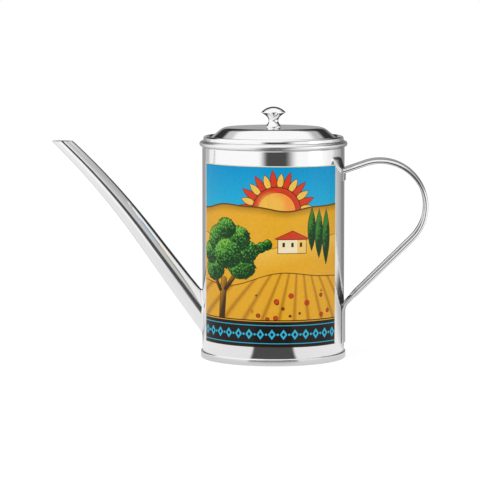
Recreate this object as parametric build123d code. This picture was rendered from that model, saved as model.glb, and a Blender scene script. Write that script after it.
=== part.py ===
from build123d import *
from math import acos, asin, atan2, cos, degrees, hypot, radians, sin, sqrt
import os

os.makedirs("parts", exist_ok=True)

# A stainless steel olive oil can with a long spout, a strap handle and a lift-off lid, in millimetres.
# The origin is on the can's axis, in the plane that it stands on. +Z is up, the spout points to -X,
# the handle to +X, and the printed front faces -Y.

# Sheet metal and the gaps between pieces
sheet = 0.5
fold_gap = 0.03
weld_gap = 0.02
wall_gap = 0.06
lid_slip = 0.35
lid_seat_gap = 0.1
overrun = 15.0

# Can wall, from the floor to the crest of the rim bead
can_radius = 44.75
can_height = 136.7
rim_bead_radius = 1.8
neck_bend = 2.0
curl_turn = 268.0

# Base pan, folded over the wall's foot
seam_height = 4.4
seam_proud = 1.0
seam_bend = 0.5
seam_shoulder = 0.45
hook_lift = 0.3
panel_height = 3.2
panel_bend = 1.2

# Printed film on the front
label_bottom = 11.7
label_top_drop = 13.0
label_spout_gap = 7.1
label_handle_gap = 10.7
label_thickness = 0.12
label_tilt = 0.55

# Spout: a straight root, then one long bend to the tip
spout_root_height = 28.0
spout_rise = 53.5
spout_straight = 61.6
spout_bend_radius = 454.0
spout_root_diameter = 16.2
spout_tip_diameter = 9.2
spout_tip_drop = 0.5
spout_weld_size = 1.8

# Handle strap: two tangs on the wall, two straight runs and a round grip between them
strap_width = 24.0
strap_sheet = 0.8
strap_crown = 0.3
strap_roll_diameter = 2.8
strap_top_drop = 16.9
strap_foot_height = 32.2
grip_radius = 29.9
grip_offset = 22.4
grip_crest_drop = 10.7
top_tang_length = 7.5
foot_tang_end = 9.9
foot_tang_bend = 7.2
foot_easing_length = 9.0
easing_steps = 4

# Lid: a turned-down lip that rests on the rim bead, a flange and a stepped dome
lip_inset = 0.55
lip_corner = 1.3
lip_lean = 12.0
lip_face_radius = 8.0
lip_face_turn = 11.0
lip_curl_radius = 0.7
lip_curl_turn = 130.0
lip_rise = 1.1
lip_bend = 1.0
flange_width = 5.25
dome_run = 7.9
dome_rise = 6.6
dome_edge_bend = 8.0
dome_foot_bend = 0.9
skirt_depth = 10.2
skirt_lead_bend = 1.2
skirt_lead_turn = 60.0

# Knob and what holds it
knob_height = 12.8
knob_foot_radius = 4.8
knob_foot_edge = 0.5
knob_neck_radius = 3.1
knob_neck_height = 4.1
knob_cap_radius = 7.6
knob_cap_height = 9.0
knob_cap_edge = 0.4
knob_waist_ways = ((-0.6, 1), (0, 1), (1, 0.6))
screw_radius = 1.5
screw_length = 8.0
screw_hole_gap = 0.05
screw_hole_spare = 0.8
screw_head_radius = 2.9
screw_head_height = 1.9
screw_head_round = 0.7
screw_slot_width = 0.8
screw_slot_length = 3.4
screw_slot_depth = 1.1
washer_radius = 4.0
washer_thickness = 0.6

# Places that several pieces share
rim_bead_z = can_height - rim_bead_radius
mouth_radius = can_radius - rim_bead_radius

# The lip, from its crown over the corner and down the leaning face to the curl that sits on the bead
corner_way = radians(90 - lip_lean)
face_end_way = corner_way + radians(lip_face_turn)
corner_mid = lip_corner - sheet / 2
face_mid = lip_face_radius - sheet / 2
curl_mid = lip_curl_radius - sheet / 2
crown_r = can_radius - lip_inset - sheet / 2 - corner_mid * sin(corner_way) - face_mid * (1 - sin(corner_way))
face_end_r = crown_r + corner_mid * sin(corner_way) + face_mid * (sin(face_end_way) - sin(corner_way))
face_drop = corner_mid * (1 - cos(corner_way)) + face_mid * (cos(corner_way) - cos(face_end_way))
curl_centre_r = face_end_r - curl_mid * sin(face_end_way)
seat_reach = rim_bead_radius + lip_curl_radius + lid_seat_gap
curl_centre_z = rim_bead_z + sqrt(seat_reach**2 - (can_radius - curl_centre_r) ** 2)
crown_z = curl_centre_z + curl_mid * cos(face_end_way) + face_drop
rise_turn = acos(1 - lip_rise / (lip_bend + corner_mid))
flange_end = crown_r - (lip_bend + corner_mid) * sin(rise_turn)
flange_z = crown_z - lip_rise
plateau_z = flange_z + dome_rise
knob_seat_z = plateau_z + sheet / 2 + weld_gap
washer_top_z = plateau_z - sheet / 2 - weld_gap
spout_tip_z = can_height - spout_tip_drop


def spun(section):
    """Turn a section drawn as (radius, height) into a round piece."""
    return revolve(Plane.XZ * section, Axis.Z)


def block(width, depth, low, high):
    """A box centred on the axis, between two heights."""
    return Pos(0, 0, (low + high) / 2) * Box(width, depth, high - low)


def can_cylinder(radius):
    """A cylinder on the can's axis that runs past both of its ends."""
    return Pos(0, 0, can_height / 2) * Cylinder(radius, can_height + 2 * overrun)


def spout_axis(past_tip):
    """The spout's middle line, from inside the can to a little past its tip."""
    rise = radians(spout_rise)
    start = (-can_radius + overrun * cos(rise), spout_root_height - overrun * sin(rise))
    bend = (-can_radius - spout_straight * cos(rise), spout_root_height + spout_straight * sin(rise))
    tip_cos = cos(rise) + (spout_tip_z - bend[1]) / spout_bend_radius
    turn = spout_rise - degrees(acos(tip_cos)) + degrees(past_tip / spout_bend_radius)
    root_line = Line(start, bend)
    return Plane.XZ * (root_line + JernArc(bend, root_line % 1, spout_bend_radius, turn))


def spout_solid(inset):
    """The spout's tapered form, smaller than its outside by the inset, cut level at the tip."""
    axis = spout_axis(spout_tip_diameter)
    taper = (spout_root_diameter - spout_tip_diameter) / (axis.length - overrun - spout_tip_diameter)
    root_radius = (spout_root_diameter + taper * overrun) / 2 - inset
    tip_radius = (spout_tip_diameter - taper * spout_tip_diameter) / 2 - inset
    ends = [(axis ^ 0) * Circle(root_radius), (axis ^ 1) * Circle(tip_radius)]
    tube = sweep(ends, path=axis, multisection=True)
    reach = 2 * (can_radius + axis.length)
    return tube & block(reach, reach, -overrun, spout_tip_z)


def body_shell():
    """The can's wall: hooked at the foot, necked in at the top and curled over into the rim bead."""
    wall = can_radius - sheet / 2
    curl = rim_bead_radius - sheet / 2
    neck_turn = acos(1 - (wall - can_radius + curl) / (2 * neck_bend))
    foot_z = sheet + seam_bend + fold_gap
    side = Line((wall, foot_z), (wall, rim_bead_z - 2 * neck_bend * sin(neck_turn)))
    turn_in = JernArc(side @ 1, side % 1, neck_bend, degrees(neck_turn))
    turn_up = JernArc(turn_in @ 1, turn_in % 1, neck_bend, -degrees(neck_turn))
    rim = JernArc(turn_up @ 1, turn_up % 1, curl, -curl_turn)
    shell = spun(trace(side + turn_in + turn_up + rim, sheet))
    hook_top = seam_height - sheet - hook_lift
    hook_radius = can_radius + seam_proud - sheet - fold_gap
    hook = Cylinder(hook_radius, hook_top - foot_z) - Cylinder(wall, hook_top - foot_z)
    shell += Pos(0, 0, (foot_z + hook_top) / 2) * hook
    spout_side = Pos(-can_radius, 0, 0) * block(2 * can_radius, 2 * can_radius, 0, can_height)
    return shell - (spout_solid(sheet) & spout_side)


def base_pan():
    """The recessed bottom disc, its edge folded down inside the wall's foot and up outside it."""
    inner_leg = can_radius - 3 * sheet / 2 - fold_gap
    outer_leg = can_radius + seam_proud - sheet / 2
    floor = sheet / 2
    panel = Line((0, panel_height), (inner_leg - panel_bend, panel_height))
    turn_down = JernArc(panel @ 1, panel % 1, panel_bend, -90)
    drop = Line(turn_down @ 1, (inner_leg, floor + seam_bend))
    fold = JernArc(drop @ 1, drop % 1, seam_bend, 90)
    seat = Line(fold @ 1, (outer_leg - seam_bend, floor))
    turn_up = JernArc(seat @ 1, seat % 1, seam_bend, 90)
    skirt = Line(turn_up @ 1, (outer_leg, seam_height - sheet / 2 - seam_shoulder))
    shoulder = JernArc(skirt @ 1, skirt % 1, seam_shoulder, 90)
    lean = Line(shoulder @ 1, (can_radius + fold_gap, seam_height - sheet / 2))
    return spun(trace(panel + turn_down + drop + fold + seat + turn_up + skirt + shoulder + lean, sheet))


def label_film():
    """The printed film: a thin curved patch, slightly off the middle and slightly tilted."""
    inner = can_radius + wall_gap
    sleeve = can_cylinder(inner + label_thickness) - can_cylinder(inner)
    height = can_height - label_top_drop - label_bottom
    weld_reach = spout_root_diameter / 2 + spout_weld_size
    spout_edge = degrees(acos(weld_reach / can_radius) - label_spout_gap / can_radius)
    handle_edge = degrees(acos(strap_width / 2 / can_radius) - label_handle_gap / can_radius)
    half_turn = radians(spout_edge + handle_edge) / 2
    far = 2 * can_radius
    edge = (far * sin(half_turn), -far * cos(half_turn))
    wedge = make_face(Polyline((0, 0), edge, (far, -far), (-far, -far), (-edge[0], edge[1]), (0, 0)))
    window = Pos(0, 0, -height / 2) * extrude(wedge, height)
    turn = (handle_edge - spout_edge) / 2
    place = Pos(0, 0, label_bottom + height / 2) * Rot(0, 0, turn) * Rot(0, label_tilt, 0)
    return sleeve & place * window


def spout_tube():
    """The hollow spout, its root cut to the wall."""
    return spout_solid(0) - spout_solid(sheet) - can_cylinder(can_radius + weld_gap)


def spout_weld():
    """The fillet of weld between the wall and the spout's root."""
    root = spout_solid(0) & block(4 * can_radius, 2 * can_radius, -overrun, can_height / 2)
    wall = Cylinder(can_radius + weld_gap, can_height)
    wall = Pos(0, 0, can_height / 2) * wall
    joined = wall + root
    saddle = [
        edge
        for edge in joined.edges()
        if edge.geom_type not in (GeomType.LINE, GeomType.CIRCLE)
        and abs(hypot((edge @ 0.5).X, (edge @ 0.5).Y) - can_radius) < spout_weld_size
    ]
    bead = fillet(saddle, spout_weld_size) - wall - spout_solid(-weld_gap)
    return bead.solids().sort_by(SortBy.VOLUME)[-1]


def tangent_way(point, centre, radius, side):
    """Direction and touching point of the line from a point to a circle, on its left or right side."""
    away = (centre[0] - point[0], centre[1] - point[1])
    distance = hypot(*away)
    way = atan2(away[1], away[0]) + side * asin(radius / distance)
    length = sqrt(distance**2 - radius**2)
    return way, (point[0] + length * cos(way), point[1] + length * sin(way))


def corner_bend(corner, way_in, way_out, radius):
    """Where a bend of this radius starts and ends, and its turn, for a corner between two ways."""
    turn = (way_out - way_in + radians(180)) % radians(360) - radians(180)
    reach = radius * abs(sin(turn / 2) / cos(turn / 2))
    start = (corner[0] - reach * cos(way_in), corner[1] - reach * sin(way_in))
    end = (corner[0] + reach * cos(way_out), corner[1] + reach * sin(way_out))
    return start, end, degrees(turn)


def strap_section(place, sag, roll):
    """The strap's cross-section on a plane whose Y axis points out of the loop: a thin arc that sags at
    its edges, which are rolled under to beads of this radius."""
    thin = strap_sheet / 2
    half = strap_width / 2 - roll
    edge = thin - sag
    bite = 2 * sqrt(max(thin * (roll - thin), 0))
    outer = ThreePointArc((-half, edge), (0, thin), (half, edge))
    inner = ThreePointArc((bite - half, edge - strap_sheet), (0, -thin), (half - bite, edge - strap_sheet))
    beads = [
        ThreePointArc(outer @ end, (side * strap_width / 2, edge - roll), inner @ end)
        for side, end in ((-1, 0), (1, 1))
    ]
    return place * make_face(outer + inner + beads)


def strap_place(path, share):
    """The plane square to the strap's path at a share of its length, its Y axis out of the loop."""
    return Plane(origin=path @ share, x_dir=(0, -1, 0), z_dir=path % share)


def strap_easing(path, tang_sag):
    """The stretch where the tang's section, curved with the wall and without beads, eases into the
    grip's, which is crowned and beaded."""
    thin = strap_sheet / 2
    sections = []
    for step in range(easing_steps + 1):
        share = step / easing_steps
        eased = share**2 * (3 - 2 * share)
        sag = tang_sag + (strap_crown - tang_sag) * eased
        roll = thin + (strap_roll_diameter / 2 - thin) * eased
        sections.append(strap_section(strap_place(path, share), sag, roll))
    return loft(sections)


def strap_stretch(path, sag, roll):
    """A stretch of the strap whose section stays the same."""
    return sweep(strap_section(strap_place(path, 0), sag, roll), path=path)


def handle_strap():
    """One strip: foot tang, bend, straight run, round grip, straight run to the wall and top tang."""
    thin = strap_sheet / 2
    wall_x = can_radius + wall_gap + thin
    tang_radius = wall_x + thin
    tang_sag = tang_radius - sqrt(tang_radius**2 - (strap_width / 2 - thin) ** 2)
    centre = (can_radius + grip_offset, can_height - grip_crest_drop - thin - grip_radius)
    foot_corner = (wall_x, strap_foot_height)
    top_corner = Vector(wall_x, can_height - strap_top_drop)
    foot_way, foot_touch = tangent_way(foot_corner, centre, grip_radius, -1)
    top_way = tangent_way((top_corner.X, top_corner.Y), centre, grip_radius, 1)[0] + radians(180)
    foot_start, foot_end, foot_turn = corner_bend(foot_corner, radians(90), foot_way, foot_tang_bend)
    grip_turn = (degrees(top_way) - degrees(foot_way)) % 360

    foot_bend = JernArc(foot_start, (0, 1), foot_tang_bend, foot_turn)
    foot_easing = Line(foot_end, foot_bend @ 1 + foot_easing_length * (foot_bend % 1))
    grip_run = Line(foot_easing @ 1, foot_touch)
    grip_arc = JernArc(foot_touch, grip_run % 1, grip_radius, grip_turn)
    top_run = Line(grip_arc @ 1, top_corner + (2 * tang_sag + strap_roll_diameter) * (grip_arc % 1))
    foot_tang = Line((wall_x, foot_tang_end), foot_start)

    strap = strap_stretch(Plane.XZ * (grip_run + grip_arc + top_run), strap_crown, strap_roll_diameter / 2)
    strap -= can_cylinder(can_radius + wall_gap)
    strap += strap_easing(Plane.XZ * foot_easing, tang_sag)
    strap += strap_stretch(Plane.XZ * foot_bend, tang_sag, thin)
    strap += strap_stretch(Plane.XZ * foot_tang, tang_sag, thin)
    tang_sleeve = can_cylinder(can_radius + wall_gap + strap_sheet) - can_cylinder(can_radius + wall_gap)
    low = top_corner.Y - top_tang_length
    reach = strap_width / 2 * (grip_arc % 1)
    near = top_corner + reach
    far = top_corner - reach
    side = make_face(Polyline((near.X, low), (near.X, near.Y), (far.X, far.Y), (far.X, low), close=True))
    window = extrude(Plane.XZ * side, strap_width / 2, both=True)
    return strap + (tang_sleeve & window)


def lid_shell():
    """The pressed lid: plateau, sloped shoulder, flange and a turned-down lip that rests on the bead."""
    foot_r = can_radius - flange_width
    dome = FilletPolyline(
        (0, plateau_z),
        (foot_r - dome_run, plateau_z),
        (foot_r, flange_z),
        (flange_end, flange_z),
        radius=[dome_edge_bend, dome_foot_bend],
    )
    rise = JernArc((flange_end, flange_z), (1, 0), lip_bend, degrees(rise_turn))
    corner = JernArc(rise @ 1, rise % 1, corner_mid, -degrees(rise_turn + corner_way))
    face = JernArc(corner @ 1, corner % 1, face_mid, -lip_face_turn)
    curl = JernArc(face @ 1, face % 1, curl_mid, -lip_curl_turn)
    hole = can_cylinder(screw_radius + screw_hole_gap)
    return spun(trace(dome + rise + corner + face + curl, sheet)) - hole


def lid_skirt():
    """The ring under the lid that guides it in the neck, with a drawn-in leading edge."""
    middle = mouth_radius - lid_slip - sheet / 2
    top = crown_z - corner_mid
    bottom = can_height - skirt_depth
    lead_drop = skirt_lead_bend * sin(radians(skirt_lead_turn)) + sheet / 2
    side = Line((middle, top), (middle, bottom + lead_drop))
    lead = JernArc(side @ 1, side % 1, skirt_lead_bend, -skirt_lead_turn)
    return spun(trace(side + lead, sheet))


def lid_knob():
    """The turned knob: a flared foot, a slim neck and a lens-shaped cap, tapped from below."""
    points = (
        (knob_foot_radius, knob_foot_edge),
        (knob_neck_radius, knob_neck_height),
        (knob_cap_radius, knob_cap_height),
    )
    foot = Line((0, 0), (knob_foot_radius, 0)) + Line((knob_foot_radius, 0), points[0])
    waist = Spline(*points, tangents=knob_waist_ways)
    edge = Line(points[2], (knob_cap_radius, knob_cap_height + knob_cap_edge))
    rise = knob_height - knob_cap_height - knob_cap_edge
    dome_radius = (knob_cap_radius**2 + rise**2) / (2 * rise)
    crown = RadiusArc(edge @ 1, (0, knob_height), -dome_radius)
    outline = make_face(foot + waist + edge + crown + Line((0, knob_height), (0, 0)))
    depth = screw_length - (knob_seat_z - washer_top_z) - washer_thickness + screw_hole_spare
    hole = Pos(0, 0, depth / 2) * Cylinder(screw_radius + screw_hole_gap, depth)
    return Pos(0, 0, knob_seat_z) * (spun(outline) - hole)


def knob_screw():
    """The screw that comes up through the washer and the lid, with a rounded slotted head."""
    head_top = washer_top_z - washer_thickness - weld_gap
    head = Pos(0, 0, -screw_head_height / 2) * Cylinder(screw_head_radius, screw_head_height)
    head = fillet(head.edges().sort_by(Axis.Z)[0], screw_head_round)
    shank = Pos(0, 0, screw_length / 2) * Cylinder(screw_radius, screw_length)
    slot = Pos(0, 0, -screw_head_height) * Box(screw_slot_length, screw_slot_width, 2 * screw_slot_depth)
    cross_slot = Rot(0, 0, 90) * slot
    return Pos(0, 0, head_top) * (head + shank - slot - cross_slot)


def knob_washer():
    """The flat washer between the screw's head and the underside of the lid."""
    ring = Cylinder(washer_radius, washer_thickness)
    ring -= Cylinder(screw_radius + screw_hole_gap, washer_thickness)
    return Pos(0, 0, washer_top_z - washer_thickness / 2) * ring


pieces = {
    "body_shell": body_shell(),
    "base_pan": base_pan(),
    "label_film": label_film(),
    "spout_tube": spout_tube(),
    "spout_weld": spout_weld(),
    "handle_strap": handle_strap(),
    "lid_shell": lid_shell(),
    "lid_skirt": lid_skirt(),
    "lid_knob": lid_knob(),
    "knob_screw": knob_screw(),
    "knob_washer": knob_washer(),
}
for node, piece in pieces.items():
    export_step(piece, f"parts/{node}.step")
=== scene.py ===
from math import acos, asin, atan2, cos, degrees, hypot, pi, radians, sin, sqrt, tan

import bmesh
import bpy
from mathutils import Matrix, Vector


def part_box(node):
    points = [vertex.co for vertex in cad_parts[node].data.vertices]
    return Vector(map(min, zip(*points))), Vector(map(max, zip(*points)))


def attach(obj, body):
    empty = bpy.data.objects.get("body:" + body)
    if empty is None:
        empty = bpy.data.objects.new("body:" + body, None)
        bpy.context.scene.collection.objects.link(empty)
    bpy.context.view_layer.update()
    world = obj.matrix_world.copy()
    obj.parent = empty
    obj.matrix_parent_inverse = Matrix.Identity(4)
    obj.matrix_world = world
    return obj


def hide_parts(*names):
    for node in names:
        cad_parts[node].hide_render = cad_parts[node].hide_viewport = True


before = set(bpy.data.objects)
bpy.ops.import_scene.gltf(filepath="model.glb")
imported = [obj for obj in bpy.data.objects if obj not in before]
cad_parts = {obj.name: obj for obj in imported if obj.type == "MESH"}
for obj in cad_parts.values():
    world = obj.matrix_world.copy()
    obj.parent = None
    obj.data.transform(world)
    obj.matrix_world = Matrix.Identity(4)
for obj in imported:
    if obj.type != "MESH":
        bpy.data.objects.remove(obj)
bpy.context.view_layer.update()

# A polished stainless oil can with a long spout, a strap handle and a lift-off lid. Lengths are in
# metres: the frame gives the large ones, and the small ones are written as millimetres here.
MM = 0.001
SHEET = 0.5 * MM
AROUND = 192
BEND_STEP = 7.5
SHARP_ANGLE = radians(38)
SUPPORT = 0.15 * MM
MERGE = 0.001 * MM


def box_size(node):
    low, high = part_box(node)
    return high - low


# Places taken from the frame
rim_bead_radius = 1.8 * MM
can_radius = box_size("body_shell").x / 2 - rim_bead_radius
rim_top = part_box("body_shell")[1].z
rim_bead_z = rim_top - rim_bead_radius
seam_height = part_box("base_pan")[1].z
seam_radius = box_size("base_pan").x / 2
lid_radius = box_size("lid_shell").x / 2
lid_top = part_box("lid_shell")[1].z
knob_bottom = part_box("lid_knob")[0].z
knob_height = box_size("lid_knob").z
knob_radius = box_size("lid_knob").x / 2
spout_tip_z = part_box("spout_tube")[1].z
weld_low, weld_high = (corner.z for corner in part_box("spout_weld"))


# Mesh helpers


def even_shares(count):
    return [step / count for step in range(1, count + 1)]


def bend_shares(turn, step, fewest):
    return even_shares(max(fewest, round(abs(turn) / step)))


def run_shares(length):
    """The end of a straight run, and a place near each end, which keeps the shading of the run flat."""
    near = min(SUPPORT / length, 0.25)
    return (near, 1 - near, 1)


def along(here, heading, move, share):
    """The place and the heading at a share of a straight run, (length,), or of a round bend, (radius, turn).
    Headings and turns are in degrees, and left is positive."""
    way = radians(heading)
    if len(move) == 1:
        return here + Vector((cos(way), sin(way))) * (move[0] * share), heading
    radius, turn = move
    side = 1 if turn > 0 else -1
    centre = here + side * radius * Vector((-sin(way), cos(way)))
    turned = way + radians(turn) * share
    return centre + side * radius * Vector((sin(turned), -cos(turned))), heading + turn * share


def walk(start, heading, moves):
    """Points of a line made of straight runs and round bends."""
    points = [Vector(start)]
    for move in moves:
        shares = run_shares(move[0]) if len(move) == 1 else bend_shares(move[1], BEND_STEP, 2)
        places = [along(points[-1], heading, move, share) for share in shares]
        points += [point for point, _ in places]
        heading = places[-1][1]
    return points


def thicken(line, thickness):
    """The closed outline of a sheet that follows a line, half its thickness to each side."""
    sides = ([], [])
    for index, point in enumerate(line):
        before = line[max(index - 1, 0)]
        after = line[min(index + 1, len(line) - 1)]
        way_in = (point - before).normalized() if index else (after - point).normalized()
        way_out = (after - point).normalized() if index < len(line) - 1 else way_in
        middle = (way_in + way_out).normalized()
        normal = Vector((-middle.y, middle.x)) / max(middle.dot(way_in), 0.5)
        sides[0].append(point + normal * thickness / 2)
        sides[1].append(point - normal * thickness / 2)
    return sides[0] + sides[1][::-1]


def chain(bm, points, closed):
    verts = [bm.verts.new(point) for point in points]
    edges = [bm.edges.new(pair) for pair in zip(verts, verts[1:])]
    if closed:
        edges.append(bm.edges.new((verts[-1], verts[0])))
    return verts, edges


def spun(outline, closed=True, steps=AROUND):
    """A round piece: an outline of (radius, height) turned about the can's axis."""
    bm = bmesh.new()
    verts, edges = chain(bm, [(p.x, 0, p.y) for p in outline], closed)
    bmesh.ops.spin(
        bm, geom=verts + edges, cent=(0, 0, 0), axis=(0, 0, 1), angle=2 * pi, steps=steps, use_merge=True
    )
    bmesh.ops.remove_doubles(bm, verts=bm.verts, dist=MERGE)
    return bm


def lofted(rings, ends="cap"):
    """A skin through rings of as many points each. The ends are capped, joined to each other or open."""
    bm = bmesh.new()
    loops = [chain(bm, ring, closed=True)[1] for ring in rings]
    for first, second in zip(loops, loops[1:]):
        bmesh.ops.bridge_loops(bm, edges=first + second)
    if ends == "join":
        bmesh.ops.bridge_loops(bm, edges=loops[-1] + loops[0])
    if ends == "cap":
        for loop in (loops[0], loops[-1]):
            bmesh.ops.contextual_create(bm, geom=loop)
    return bm


def combined(first, second, operation):
    """Two closed forms made one by UNION, or the first less the second by DIFFERENCE."""
    forms = []
    for bm in (first, second):
        bmesh.ops.recalc_face_normals(bm, faces=bm.faces)
        mesh = bpy.data.meshes.new("form")
        bm.to_mesh(mesh)
        bm.free()
        forms.append(bpy.data.objects.new("form", mesh))
        bpy.context.scene.collection.objects.link(forms[-1])
    cut = forms[0].modifiers.new("cut", "BOOLEAN")
    cut.operation = operation
    cut.solver = "EXACT"
    cut.object = forms[1]
    result = bmesh.new()
    result.from_object(forms[0], bpy.context.evaluated_depsgraph_get())
    for form in forms:
        mesh = form.data
        bpy.data.objects.remove(form)
        bpy.data.meshes.remove(mesh)
    bmesh.ops.remove_doubles(result, verts=result.verts, dist=MERGE / 10)
    return result


def finish_piece(name, bm, material, body, replaces):
    """Turn a bmesh into a piece of the object, smooth apart from its sharp edges."""
    bmesh.ops.recalc_face_normals(bm, faces=bm.faces)
    for face in bm.faces:
        face.smooth = True
    for edge in bm.edges:
        if len(edge.link_faces) == 2:
            edge.smooth = edge.calc_face_angle(0) < SHARP_ANGLE
    mesh = bpy.data.meshes.new(name)
    bm.to_mesh(mesh)
    bm.free()
    mesh.materials.append(material)
    piece = bpy.data.objects.new(name, mesh)
    bpy.context.scene.collection.objects.link(piece)
    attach(piece, body)
    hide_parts(replaces)
    return piece


# Node helpers


class Nodes:
    """A node tree built by short calls. What a call is given is an output to link or a value to set."""

    def __init__(self, tree):
        self.tree = tree

    def feed(self, slot, source):
        if isinstance(source, bpy.types.NodeSocket):
            self.tree.links.new(source, slot)
        else:
            slot.default_value = source

    def add(self, kind, inputs=(), **settings):
        """A node with its settings, and with its inputs given by name or number."""
        node = self.tree.nodes.new(kind)
        for name, value in settings.items():
            setattr(node, name, value)
        for slot, source in dict(inputs).items():
            self.feed(node.inputs[slot], source)
        return node

    def math(self, operation, *sources, clamp=False):
        node = self.add("ShaderNodeMath", enumerate(sources), operation=operation, use_clamp=clamp)
        return node.outputs[0]

    def times(self, first, second):
        return self.math("MULTIPLY", first, second)

    def vector(self, operation, *sources):
        node = self.add("ShaderNodeVectorMath", enumerate(sources), operation=operation)
        return node.outputs["Value" if operation in ("LENGTH", "DOT_PRODUCT") else "Vector"]

    def scaled(self, source, factor):
        return self.add("ShaderNodeVectorMath", {0: source, "Scale": factor}, operation="SCALE").outputs[0]

    def ranged(self, source, low, high, out_low=0.0, out_high=1.0, smooth=False):
        """A value brought from one range to another and clamped."""
        kind = "SMOOTHSTEP" if smooth else "LINEAR"
        slots = enumerate((source, low, high, out_low, out_high))
        return self.add("ShaderNodeMapRange", slots, interpolation_type=kind).outputs[0]

    def mix(self, first, second, factor):
        """A colour between two."""
        return self.add("ShaderNodeMix", {0: factor, 6: first, 7: second}, data_type="RGBA").outputs[2]

    def split(self, source):
        return self.add("ShaderNodeSeparateXYZ", {0: source}).outputs

    def from_axis(self, place):
        """How far a place is from the can's axis."""
        return self.vector("LENGTH", self.vector("MULTIPLY", place, (1, 1, 0)))

    def noise(self, place, scale, detail, roughness=0.5):
        inputs = {"Vector": place, "Scale": scale, "Detail": detail, "Roughness": roughness}
        return self.add("ShaderNodeTexNoise", inputs).outputs


def shader_group(name, inputs, outputs):
    """An empty node group with named sockets, each given as its kind and its default."""
    group = bpy.data.node_groups.new(name, "ShaderNodeTree")
    for label, kind, value in inputs:
        socket = group.interface.new_socket(label, in_out="INPUT", socket_type="NodeSocket" + kind)
        if value is not None:
            socket.default_value = value
    for label, kind in outputs:
        group.interface.new_socket(label, in_out="OUTPUT", socket_type="NodeSocket" + kind)
    nodes = Nodes(group)
    return group, nodes, nodes.add("NodeGroupInput").outputs, nodes.add("NodeGroupOutput").inputs


def cleared(owner):
    """The emptied node tree of a material or of the world."""
    owner.use_nodes = True
    owner.node_tree.nodes.clear()
    return Nodes(owner.node_tree)


def new_material(name):
    material = bpy.data.materials.new(name)
    nodes = cleared(material)
    shader = nodes.add("ShaderNodeBsdfPrincipled")
    nodes.add("ShaderNodeOutputMaterial", {"Surface": shader.outputs[0]})
    return material, nodes, shader.inputs


# Steel

LINES_PER_METRE = 5200.0
LINE_DRIFT = 42.0
LINE_RELIEF = 0.02 * MM
WIPES_PER_METRE = 38.0
SATIN = 0.3
DULL_METAL = 0.5
RIM_BLEND = 0.3 * MM
INSIDE_DEPTH = 0.35 * MM
INSIDE_BLEND = 0.1 * MM
rim_foot = rim_bead_z - rim_bead_radius - 0.4 * MM


def polish_group():
    """Polished sheet: fine lines along the grain, faint wipe marks and a slight unevenness. Across is the
    direction that the lines repeat in, and Along lies along them."""
    inputs = (
        ("Across", "Float", 0.0),
        ("Along", "Vector", None),
        ("Tone", "Color", (0.86, 0.86, 0.87, 1)),
        ("Roughness", "Float", 0.07),
        ("Line Depth", "Float", 0.1),
    )
    outputs = (("Color", "Color"), ("Roughness", "Float"), ("Normal", "Vector"))
    group, nodes, given, result = shader_group("polish", inputs, outputs)
    drift = nodes.split(nodes.scaled(given["Along"], LINE_DRIFT))
    stacked = nodes.times(given["Across"], LINES_PER_METRE)
    lines_at = nodes.add("ShaderNodeCombineXYZ", {"X": drift["X"], "Y": drift["Y"], "Z": stacked})
    lines = nodes.noise(lines_at.outputs[0], 1.0, 3.0, 0.6)["Fac"]
    wipes = nodes.noise(given["Along"], WIPES_PER_METRE, 4.0, 0.55)["Fac"]
    from_wipes = nodes.ranged(wipes, 0.35, 0.75, -0.012, 0.03)
    from_lines = nodes.ranged(lines, 0.3, 0.7, -0.015, 0.02)
    unevenness = nodes.math("ADD", from_wipes, from_lines)
    nodes.feed(result["Roughness"], nodes.math("ADD", given["Roughness"], unevenness, clamp=True))
    shade = nodes.ranged(lines, 0.25, 0.75, 0.965, 1.02)
    nodes.feed(result["Color"], nodes.scaled(given["Tone"], shade))
    relief = {"Strength": given["Line Depth"], "Distance": LINE_RELIEF, "Height": lines}
    nodes.feed(result["Normal"], nodes.add("ShaderNodeBump", relief).outputs[0])
    return group


POLISH = polish_group()


def steel(name, tone, roughness, across, line_depth=0.1, rim_from=None):
    """Polished steel. Across names what the grain lines repeat in: the height, the radius or the side.
    From a given height up the surface is satin, as on a rolled rim, and inside the wall below it is dull."""
    material, nodes, shader = new_material(name)
    place = nodes.add("ShaderNodeTexCoord").outputs["Object"]
    if across == "radius":
        repeats_in = nodes.from_axis(place)
    else:
        repeats_in = nodes.split(place)["Z" if across == "height" else "Y"]
    metallic = 1.0
    if rim_from is not None:
        rim = nodes.ranged(repeats_in, rim_from, rim_from + RIM_BLEND)
        inner = can_radius - INSIDE_DEPTH
        outside = nodes.ranged(nodes.from_axis(place), inner, inner + INSIDE_BLEND)
        metallic = nodes.ranged(nodes.math("MAXIMUM", rim, outside), 0.0, 1.0, DULL_METAL, 1.0)
        roughness = nodes.ranged(rim, 0.0, 1.0, roughness, SATIN)
    inputs = {
        "Across": repeats_in,
        "Along": place,
        "Tone": (*tone, 1),
        "Roughness": roughness,
        "Line Depth": line_depth,
    }
    polish = nodes.add("ShaderNodeGroup", inputs, node_tree=POLISH).outputs
    nodes.feed(shader["Metallic"], metallic)
    nodes.feed(shader["Base Color"], polish["Color"])
    nodes.feed(shader["Roughness"], polish["Roughness"])
    nodes.feed(shader["Normal"], polish["Normal"])
    return material


WALL_STEEL = steel("wall_steel", (0.88, 0.88, 0.885), 0.07, "height", rim_from=rim_foot)
LID_STEEL = steel("lid_steel", (0.88, 0.88, 0.885), 0.09, "radius")
TUBE_STEEL = steel("tube_steel", (0.88, 0.88, 0.885), 0.09, "side")
STRAP_STEEL = steel("strap_steel", (0.82, 0.82, 0.825), 0.15, "side")
BASE_STEEL = steel("base_steel", (0.88, 0.88, 0.885), 0.14, "height")
KNOB_STEEL = steel("knob_metal", (0.88, 0.88, 0.89), 0.04, "height", line_depth=0.03)
SCREW_STEEL = steel("screw_steel", (0.62, 0.62, 0.63), 0.25, "radius")


# Can: the wall from its hooked foot up to the curled rim, and the bottom folded round that foot

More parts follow.
